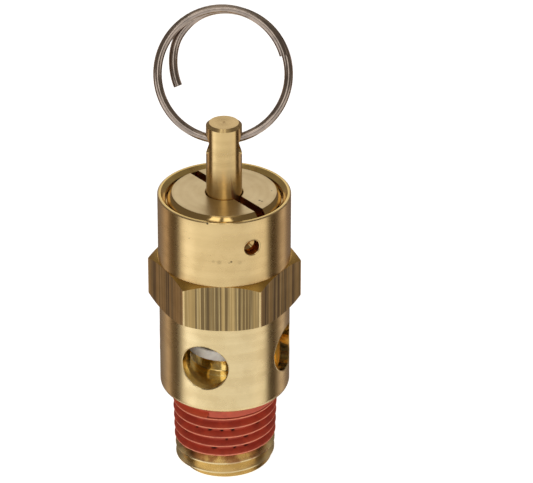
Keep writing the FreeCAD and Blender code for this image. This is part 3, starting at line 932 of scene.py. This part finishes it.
@dataclass
class ThreadSealant:
    """Coat of dried sealant laid along the thread's own helix."""

    pitch: float = 1.4111 * MM
    helix_start: float = -0.69 * MM
    crest_at_start: float = 6.63 * MM
    taper: float = 0.03125
    first_turn: float = 2.35
    turns: int = 7
    coated_from: float = 3.35
    groove_ends: float = 7.696
    top: float = 11.405 * MM
    steps_per_turn: int = 256
    profile: Sequence[tuple[float, float]] = (
        (0.000, -0.790), (0.070, -0.780), (0.130, -0.735), (0.220, -0.592), (0.310, -0.436), (0.400, -0.280),
        (0.480, -0.142), (0.540, -0.048), (0.580, -0.014), (0.625, 0.004), (0.665, 0.009))
    crest_height: float = 0.010
    join_gap: float = 0.002 * MM
    chip_depth: float = 0.09 * MM
    chip_rise: float = 0.25 * MM
    chip_middle: float = 0.06 * MM
    rub_from: float = 0.62 * MM
    rub_width: float = 0.05 * MM
    rubbed_past_end: float = 0.5
    grain: Sequence[tuple[float, float]] = ((900.0, 0.012), (2600.0, 0.006))
    waviness: float = 0.025 * MM
    waves: float = 500.0
    fill_turns: float = 0.008
    crease_turns: float = 0.42
    crease_place: float = -0.50 * MM
    crease_half: float = 0.06 * MM
    crease_depth: float = 0.20 * MM
    crease_shade: float = 0.8
    chip_steepness: float = 2.5
    ragged_grain: float = 700.0
    ragged_turns: float = 0.02
    ragged_height: float = 0.06 * MM
    ragged_drop: float = 0.15 * MM
    chips: Sequence[tuple[float, float, float]] = (
        (-36.4, 7.36, 0.30), (-18.5, 7.38, 0.42), (-3.2, 7.43, 0.30), (10.4, 7.47, 0.34), (46.0, 7.68, 0.55),
        (28.0, 6.22, 0.52), (3.0, 6.03, 0.20), (28.3, 4.80, 0.50), (-13.3, 4.56, 0.58), (12.9, 4.66, 0.30),
        (-56.0, 6.10, 0.40), (120.0, 6.7, 0.40), (164.0, 5.5, 0.34), (231.0, 7.9, 0.45))
    finish: DriedSealant = DriedSealant("dried_sealant", (0.56, 0.078, 0.034), 0.50, 0.0)

    def half_profile(self) -> list[tuple[float, float]]:
        """Outline of one flank of the coat.

        Returns:
            Offsets along and outwards from the root to the crest line, in metres.
        """
        points = [(along * MM, out * MM) for along, out in self.profile]
        return points + [(self.pitch / 2, self.crest_height * MM)]

    def build(self) -> bpy.types.Object:
        """Spins the profile along the thread, then wears, chips and trims it.

        Returns:
            The piece.
        """
        build = bmesh.new()
        across = build.verts.layers.float.new("across")
        sink = build.verts.layers.float.new("sink")
        half = self.half_profile()
        points = [(-along, out) for along, out in reversed(half[1:])] + half
        start_angle = 2 * math.pi * (self.first_turn % 1.0)
        start_height = self.helix_start + self.pitch * self.first_turn
        chain = []
        for along, out in points:
            vert = build.verts.new((self.crest_at_start * math.cos(start_angle),
                                    self.crest_at_start * math.sin(start_angle), start_height + along))
            vert[across] = along
            vert[sink] = out
            chain.append(vert)
        edges = [build.edges.new(pair) for pair in zip(chain, chain[1:])]
        bmesh.ops.spin(build, geom=chain + edges, cent=(0, 0, 0), axis=(0, 0, 1),
                       dvec=(0, 0, self.pitch / self.steps_per_turn), angle=2 * math.pi,
                       steps=self.steps_per_turn)
        one_turn = build.verts[:] + build.edges[:] + build.faces[:]
        for number in range(1, self.turns):
            copy = bmesh.ops.duplicate(build, geom=one_turn)["geom"]
            verts = [item for item in copy if isinstance(item, bmesh.types.BMVert)]
            bmesh.ops.translate(build, verts=verts, vec=(0, 0, self.pitch * number))
        bmesh.ops.remove_doubles(build, verts=build.verts, dist=self.join_gap)
        self.shape(build, across, sink)
        self.trim(build)
        bmesh.ops.recalc_face_normals(build, faces=build.faces)
        piece = add_piece("sealant_coat", build, Rider.VALVE)
        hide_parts("thread_sealant")
        return piece

    def shape(self, build: bmesh.types.BMesh, across: bmesh.types.BMLayerItem,
              sink: bmesh.types.BMLayerItem) -> None:
        """Moves every vertex to its radius and notes its rubbing, its chips and the crease, which the finish
        paints as highlight and near-black shadow.

        Args:
            build: The spun coat.
            across: Layer with each vertex's height above the groove's middle.
            sink: Layer with its depth in the open groove.
        """
        wear_and_painted_light = build.verts.layers.float_vector.new("wear_and_painted_light")
        for vert in build.verts:
            along = vert[across]
            centre = vert.co.z - along
            turn = (centre - self.helix_start) / self.pitch
            cone = self.crest_at_start + self.taper * (centre - self.helix_start)
            out = self.run_out(turn, along, vert[sink])
            grain = sum(noise.noise(vert.co * scale) * depth for scale, depth in self.grain)
            # The chip share also takes the crease, so the crease is sunk and painted near black as painted
            # shade.
            chip = max(self.chip_share(vert.co, along), self.crease_shade * self.crease_share(turn, along))
            spoke = cone + out + grain * MM - self.chip_depth * chip
            flat = Vector((vert.co.x, vert.co.y, 0.0)).normalized() * spoke
            rub = min(1.0, max(0.0, (abs(along) - self.rub_from) / self.rub_width))
            if turn > self.groove_ends + self.rubbed_past_end:
                rub = 0.0
            filled = 1.0 if turn > self.groove_ends else 0.0
            wave = noise.noise(vert.co * self.waves) * self.waviness
            vert.co = Vector((flat.x, flat.y, vert.co.z + wave))
            vert[wear_and_painted_light] = Vector((rub, chip, filled))

    def run_out(self, turn: float, along: float, out: float) -> float:
        """Depth of the coat's surface, with the groove filled past its end.

        Args:
            turn: Turns along the thread.
            along: Height above the groove's middle.
            out: Depth of the open groove there.

        Returns:
            The depth, negative inwards.
        """
        share = min(1.0, max(0.0, (turn - self.groove_ends) / self.fill_turns))
        share = share * share * (3 - 2 * share)
        filled = self.crest_height * MM - self.crease_depth * self.crease_share(turn, along)
        return out * (1 - share) + filled * share

    def crease_share(self, turn: float, along: float) -> float:
        """Strength of the crease left above the crest where the groove runs out.

        Args:
            turn: Turns along the thread.
            along: Height above the groove's middle.

        Returns:
            One in the crease where it starts, nothing away from it.
        """
        if turn < self.groove_ends:
            return 0.0
        fade = max(0.0, 1.0 - (turn - self.groove_ends) / self.crease_turns)
        return fade * math.exp(-((along - self.crease_place) / self.crease_half) ** 2)

    def chip_share(self, place: Vector, along: float) -> float:
        """How far a place lies inside a chip in the groove's root, from 0 to 1.

        Args:
            place: The place on the coat.
            along: Its height above the groove's middle.

        Returns:
            One well inside a chip, nothing outside.
        """
        turn = math.degrees(math.atan2(place.x, -place.y))
        best = 0.0
        for chip_turn, height, half_length in self.chips:
            gap = (turn - chip_turn + 180.0) % 360.0 - 180.0
            side = math.radians(gap) * self.crest_at_start / (half_length * MM)
            if abs(place.z - height * MM) < 0.5 * self.pitch:
                rise = (along - self.chip_middle) / self.chip_rise
                best = max(best, 1.0 - side ** 2 - rise ** 2)
        return min(1.0, self.chip_steepness * max(0.0, best))

    def trim(self, build: bmesh.types.BMesh) -> None:
        """Cuts the coat at the body above and leaves a ragged edge along a crest below.

        Args:
            build: The shaped coat.
        """
        geometry = build.verts[:] + build.edges[:] + build.faces[:]
        bmesh.ops.bisect_plane(build, geom=geometry, plane_co=(0, 0, self.top), plane_no=(0, 0, 1),
                               clear_outer=True)
        bare = []
        for face in build.faces:
            middle = face.calc_center_median()
            around = math.atan2(middle.y, middle.x) / (2 * math.pi)
            ragged = noise.noise(middle * self.ragged_grain)
            around = (around - self.coated_from + self.ragged_turns * ragged) % 1.0
            crest = self.helix_start + self.pitch * (self.coated_from - 0.5 + around)
            if middle.z < crest + self.ragged_height * ragged - self.ragged_drop:
                bare.append(face)
        bmesh.ops.delete(build, geom=bare, context="FACES")

    def dress(self, piece: bpy.types.Object, effects: Effects) -> None:
        """Gives the coat its finish.

        Args:
            piece: The coat.
            effects: The shared effects.
        """
        piece.data.materials.append(self.finish.material(effects))


@dataclass
class BurrLip:
    """Thin raised lip that a drill left round the mouth of a hole in the barrel."""

    name: str
    turn: float
    height: float
    radius: float
    barrel: float
    lift: float
    width: float
    seed: float
    foot: float = -1.4
    broad_waves: float = 2.3
    fine_waves: float = 14.0
    fine_share: float = 0.35
    middle_share: float = 0.55
    least_share: float = 0.15
    sections: Sequence[tuple[float, float]] = ((0.12, 0.7), (0.42, 1.0), (1.0, -0.6))

    def build(self) -> bpy.types.Object:
        """Builds the lip as a closed ring laid on the barrel.

        Returns:
            The piece.
        """
        build = bmesh.new()
        deep = build.verts.layers.float.new("deep")
        loop = bmesh.ops.create_circle(build, cap_ends=False, segments=96, radius=self.radius)
        first = list({edge for vert in loop["verts"] for edge in vert.link_edges})
        for vert in loop["verts"]:
            vert[deep] = self.foot
        last = first
        for out, share in self.sections:
            grown = bmesh.ops.extrude_edge_only(build, edges=last)["geom"]
            verts = [item for item in grown if isinstance(item, bmesh.types.BMVert)]
            last = [item for item in grown if isinstance(item, bmesh.types.BMEdge)]
            for vert in verts:
                spoke = Vector((vert.co.x, vert.co.y, 0.0)).normalized()
                vert.co = spoke * (self.radius + out * self.width)
                vert[deep] = share
        bmesh.ops.bridge_loops(build, edges=last + first)
        for vert in build.verts:
            self.lay(vert, vert[deep])
        bmesh.ops.recalc_face_normals(build, faces=build.faces)
        piece = add_piece(self.name, build, Rider.VALVE)
        return piece

    def lay(self, vert: bmesh.types.BMVert, share: float) -> None:
        """Moves a vertex of the flat ring onto the barrel.

        Args:
            vert: The vertex.
            share: How far it stands up, as a share of the lip's height, negative below the barrel.
        """
        around = math.atan2(vert.co.y, vert.co.x)
        spot = Vector((math.cos(around), math.sin(around), self.seed))
        waves = noise.noise(spot * self.broad_waves) + self.fine_share * noise.noise(spot * self.fine_waves)
        ragged = max(self.least_share, self.middle_share + waves)
        lift = self.lift * (share if share < 0 else share * ragged)
        side, up = vert.co.x, vert.co.y
        depth = math.sqrt(self.barrel ** 2 - side ** 2) + lift
        angle = math.radians(self.turn)
        ahead = Vector((math.sin(angle), -math.cos(angle), 0.0))
        right = Vector((math.cos(angle), math.sin(angle), 0.0))
        vert.co = ahead * depth + right * side + Vector((0.0, 0.0, self.height + up))


@dataclass
class Burrs:
    """The lips round the lock hole and the four discharge ports."""

    lock: BurrLip = field(default_factory=lambda: BurrLip(
        "lock_hole_burr", 25.05, 36.03 * MM, 1.09 * MM, 8.70 * MM, 0.055 * MM, 0.20 * MM, 3.1))
    port_turns: Sequence[float] = (-17.9, 72.1, 162.1, 252.1)
    port_height: float = 18.18 * MM
    port_radius: float = 3.235 * MM
    port_lift: float = 0.030 * MM
    port_width: float = 0.14 * MM
    port_seed: float = 7.7
    barrel: float = 8.61 * MM

    def build(self) -> list[bpy.types.Object]:
        """Builds every lip.

        Returns:
            The pieces.
        """
        lips = [self.lock]
        for number, turn in enumerate(self.port_turns):
            lips.append(BurrLip("port_burr_%d" % (number + 1), turn, self.port_height, self.port_radius,
                                self.barrel, self.port_lift, self.port_width, self.port_seed + number))
        return [lip.build() for lip in lips]


@dataclass
class CarriedParts:
    """The finishes of the nodes that come from the CAD model."""

    body: BodyBrass = BodyBrass(
        "body_brass", (0.84, 0.62, 0.30), 0.27, 1.0, 0.80, marks=(
            Mark((1.00 * MM, -8.64 * MM, 34.36 * MM), 0.20 * MM, 0.75),
            Mark((0.72 * MM, -8.67 * MM, 34.22 * MM), 0.14 * MM, 0.45),
            Mark((-0.55 * MM, -8.68 * MM, 34.30 * MM), 0.42 * MM, 0.22),
            Mark((-1.30 * MM, -8.60 * MM, 34.38 * MM), 0.30 * MM, 0.18),
            Mark((2.10 * MM, -8.44 * MM, 34.15 * MM), 0.40 * MM, 0.16),
            Mark((-2.05 * MM, -8.45 * MM, 39.83 * MM), 0.20 * MM, 0.95)))
    screw: ScrewBrass = ScrewBrass(
        "screw_brass", (0.83, 0.66, 0.38), 0.33, 1.0, 0.4, pitch=0.11 * MM, marks=(
            Mark((4.60 * MM, -2.45 * MM, 40.03 * MM), 0.22 * MM, 0.8),
            Mark((4.90 * MM, -2.70 * MM, 40.03 * MM), 0.20 * MM, 0.7),
            Mark((6.16 * MM, 0.24 * MM, 40.03 * MM), 0.16 * MM, 0.6)))
    stem: TurnedBrass = TurnedBrass("stem_brass", (0.80, 0.58, 0.27), 0.24, 1.0, 0.75, pitch=0.12 * MM)
    inner: TurnedBrass = TurnedBrass("inner_brass", (0.78, 0.56, 0.25), 0.28, 1.0, 0.4, pitch=0.14 * MM)
    ring_wire: DrawnWire = DrawnWire("ring_wire", (0.50, 0.405, 0.335), 0.18)
    spring_wire: DrawnWire = DrawnWire("spring_wire", (0.55, 0.54, 0.52), 0.28, shade=(0.35, 0.34, 0.33))
    rubber: SeatRubber = SeatRubber("seat_silicone", (0.93, 0.90, 0.84), 0.45, 0.0)

    def dress(self, effects: Effects, burrs: Sequence[bpy.types.Object]) -> None:
        """Gives each carried node and burr its material.

        Args:
            effects: The shared effects.
            burrs: The lips, which take the body's finish.
        """
        plan = {
            "body": self.body, "adjusting_screw": self.screw, "stem": self.stem, "disc_holder": self.inner,
            "retaining_washer": self.inner, "upper_spring_seat": self.spring_wire, "spring": self.spring_wire,
            "pull_ring": self.ring_wire, "seat_disc": self.rubber}
        made: dict[str, bpy.types.Material] = {}
        for node, finish in plan.items():
            if finish.name not in made:
                made[finish.name] = finish.material(effects)
            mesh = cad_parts[node].data
            mesh.materials.clear()
            mesh.materials.append(made[finish.name])
            LOG.info("dressed %s in %s", node, finish.name)
        for burr in burrs:
            burr.data.materials.append(made[self.body.name])


# --------------------------------------------------------------------------- studio
@dataclass(frozen=True)
class Panel:
    """A soft light far away, seen from the valve at a direction."""

    around: float
    above: float
    half_around: float
    half_above: float
    light: Colour


@dataclass
class Studio:
    """Camera, pale floor and soft light.

    Each band is an angle round the valve in degrees and its light.
    """

    camera_place: Place = (5.512 * MM, -389.532 * MM, 245.402 * MM)
    camera_drop: float = 28.643
    camera_roll: float = 0.175
    lens: float = 229.16
    sensor_width: float = 36.0
    clip_near: float = 0.01
    clip_far: float = 20.0
    floor_half: float = 3.0
    floor_drop: float = 0.05 * MM
    floor_shade: tuple[float, float, float, float] = (0.93, 0.93, 0.93, 1.0)
    floor_roughness: float = 0.9
    floor_glow: float = 0.85
    brightest: float = 2.0
    panel_edge: float = 3.0
    bands: Sequence[tuple[float, Colour]] = (
        (-180, (0.14, 0.11, 0.09)), (-152, (0.20, 0.16, 0.14)), (-137, (0.27, 0.22, 0.19)),
        (-128, (0.36, 0.28, 0.23)), (-122, (0.56, 0.43, 0.34)), (-114, (0.54, 0.40, 0.30)),
        (-109, (0.12, 0.085, 0.055)), (-87, (0.08, 0.055, 0.035)), (-77, (0.97, 0.93, 0.90)),
        (-69, (1.22, 1.23, 1.28)), (-58, (1.12, 1.13, 1.16)), (-44, (0.95, 0.95, 0.95)),
        (0, (0.86, 0.86, 0.86)), (40, (0.85, 0.85, 0.86)), (63, (0.91, 0.89, 0.87)),
        (76, (0.93, 0.89, 0.85)), (84, (0.16, 0.12, 0.08)), (89, (0.04, 0.025, 0.012)),
        (101, (0.05, 0.032, 0.018)), (110, (0.25, 0.20, 0.16)), (118, (0.64, 0.53, 0.46)),
        (127, (0.60, 0.50, 0.43)), (136, (0.22, 0.17, 0.15)), (180, (0.14, 0.11, 0.09)))
    upper_light: Colour = (0.17, 0.15, 0.13)
    upper_from: float = 4.0
    upper_to: float = 12.0
    panels: Sequence[Panel] = (
        Panel(0.0, 30.0, 13.0, 12.0, (1.3, 1.3, 1.3)),
        Panel(-24.0, 56.0, 13.0, 9.0, (1.8, 1.8, 1.75)),
        Panel(9.0, 56.0, 10.0, 9.0, (1.8, 1.8, 1.75)),
        Panel(180.0, 29.0, 19.0, 17.0, (0.76, 0.73, 0.69)),
        Panel(134.0, 40.0, 12.0, 9.0, (0.42, 0.38, 0.32)),
        Panel(-134.0, 40.0, 12.0, 9.0, (0.38, 0.34, 0.28)),
        Panel(180.0, 78.0, 180.0, 14.0, (0.50, 0.46, 0.40)),
        Panel(180.0, -74.0, 180.0, 24.0, (1.0, 0.96, 0.90)))

    def camera(self) -> None:
        """Sets the camera."""
        data = bpy.data.cameras.new("camera")
        data.lens = self.lens
        data.sensor_width = self.sensor_width
        data.clip_start = self.clip_near
        data.clip_end = self.clip_far
        item = bpy.data.objects.new("camera", data)
        item.location = self.camera_place
        tilt = Matrix.Rotation(math.radians(90 - self.camera_drop), 3, "X")
        roll = Matrix.Rotation(math.radians(self.camera_roll), 3, "Z")
        item.rotation_euler = (tilt @ roll).to_euler()
        bpy.context.scene.collection.objects.link(item)
        bpy.context.scene.camera = item

    def floor(self) -> None:
        """Lays the pale floor."""
        build = bmesh.new()
        bmesh.ops.create_grid(build, x_segments=1, y_segments=1, size=self.floor_half)
        bmesh.ops.translate(build, verts=build.verts, vec=(0, 0, -self.floor_drop))
        mesh = bpy.data.meshes.new("floor")
        build.to_mesh(mesh)
        build.free()
        item = bpy.data.objects.new("floor", mesh)
        bpy.context.scene.collection.objects.link(item)
        material = bpy.data.materials.new("pale_floor")
        material.use_nodes = True
        shader = material.node_tree.nodes["Principled BSDF"]
        shader.inputs["Base Color"].default_value = self.floor_shade
        shader.inputs["Roughness"].default_value = self.floor_roughness
        shader.inputs["Specular IOR Level"].default_value = 0.0
        shader.inputs["Emission Color"].default_value = (1.0, 1.0, 1.0, 1.0)
        shader.inputs["Emission Strength"].default_value = self.floor_glow
        mesh.materials.append(material)
        item.visible_glossy = False

    def surroundings(self) -> None:
        """Light by direction: bands low down, a dim upper room and soft panels."""
        world = bpy.data.worlds.new("studio")
        world.use_nodes = True
        bpy.context.scene.world = world
        graph = Graph(world.node_tree)
        world.node_tree.nodes.clear()
        x, y, z = graph.split(graph.add("ShaderNodeTexCoord").outputs["Generated"])
        around = graph.calc("ARCTAN2", x, graph.product(y, -1.0))
        above = graph.calc("ARCSINE", z)
        light = self.low_bands(graph, around)
        high = graph.ramp(above, math.radians(self.upper_from), math.radians(self.upper_to))
        light = graph.mix(high, light, self.shown(self.upper_light))
        for panel in self.panels:
            share = self.panel_share(graph, around, above, panel)
            light = graph.mix(share, light, self.shown(panel.light))
        shine = graph.add("ShaderNodeBackground")
        graph.feed(light, shine.inputs["Color"])
        shine.inputs["Strength"].default_value = self.brightest
        output = graph.add("ShaderNodeOutputWorld")
        graph.feed(shine.outputs[0], output.inputs["Surface"])

    def panel_share(self, graph: Graph, around: Feed, above: Feed, panel: Panel) -> bpy.types.NodeSocket:
        """Where a panel shows in the surroundings.

        Args:
            graph: The world's graph.
            around: Direction round the valve, in radians.
            above: Direction above the horizon, in radians.
            panel: The panel.

        Returns:
            One inside the panel, with soft edges.
        """
        turned = graph.calc("SUBTRACT", around, math.radians(panel.around))
        gap = graph.calc("WRAP", turned, math.pi, -math.pi)
        side = graph.ramp(graph.calc("ABSOLUTE", gap), math.radians(panel.half_around - self.panel_edge),
                          math.radians(panel.half_around + self.panel_edge), 1.0, 0.0)
        rise = graph.window(above, math.radians(panel.above - panel.half_above),
                            math.radians(panel.above + panel.half_above), math.radians(self.panel_edge))
        return graph.product(side, rise)

    def shown(self, light: Colour) -> tuple[float, float, float, float]:
        """A light as a share of the brightest.

        Args:
            light: The light.

        Returns:
            The share, as a socket takes it.
        """
        return (*(part / self.brightest for part in light), 1.0)

    def low_bands(self, graph: Graph, around: Feed) -> bpy.types.NodeSocket:
        """Upright bands of light round the valve, near and below the horizon.

        Args:
            graph: The world's graph.
            around: Direction round the valve, in radians.

        Returns:
            The light.
        """
        node = graph.add("ShaderNodeValToRGB")
        node.color_ramp.interpolation = "EASE"
        stops = node.color_ramp.elements
        for number, (angle, light) in enumerate(self.bands):
            position = (angle + 180.0) / 360.0
            stop = stops[number] if number < 2 else stops.new(position)
            stop.position = position
            stop.color = self.shown(light)
        share = graph.total(graph.product(around, 0.5 / math.pi), 0.5)
        graph.feed(share, node.inputs[0])
        return node.outputs[0]

    def build(self) -> None:
        """Sets up everything."""
        self.camera()
        self.floor()
        self.surroundings()
        bpy.context.scene.view_settings.view_transform = "Standard"
        bpy.context.scene.view_settings.look = "None"


def main() -> None:
    """Builds and dresses the valve and its studio."""
    logging.basicConfig(level=logging.INFO, format="%(message)s")
    effects = Effects()
    sealant = ThreadSealant()
    coat = sealant.build()
    sealant.dress(coat, effects)
    LOG.info("sealant coat: %d faces", len(coat.data.polygons))
    burrs = Burrs().build()
    LOG.info("burrs: %d", len(burrs))
    CarriedParts().dress(effects, burrs)
    Studio().build()


if __name__ == "__main__":
    main()
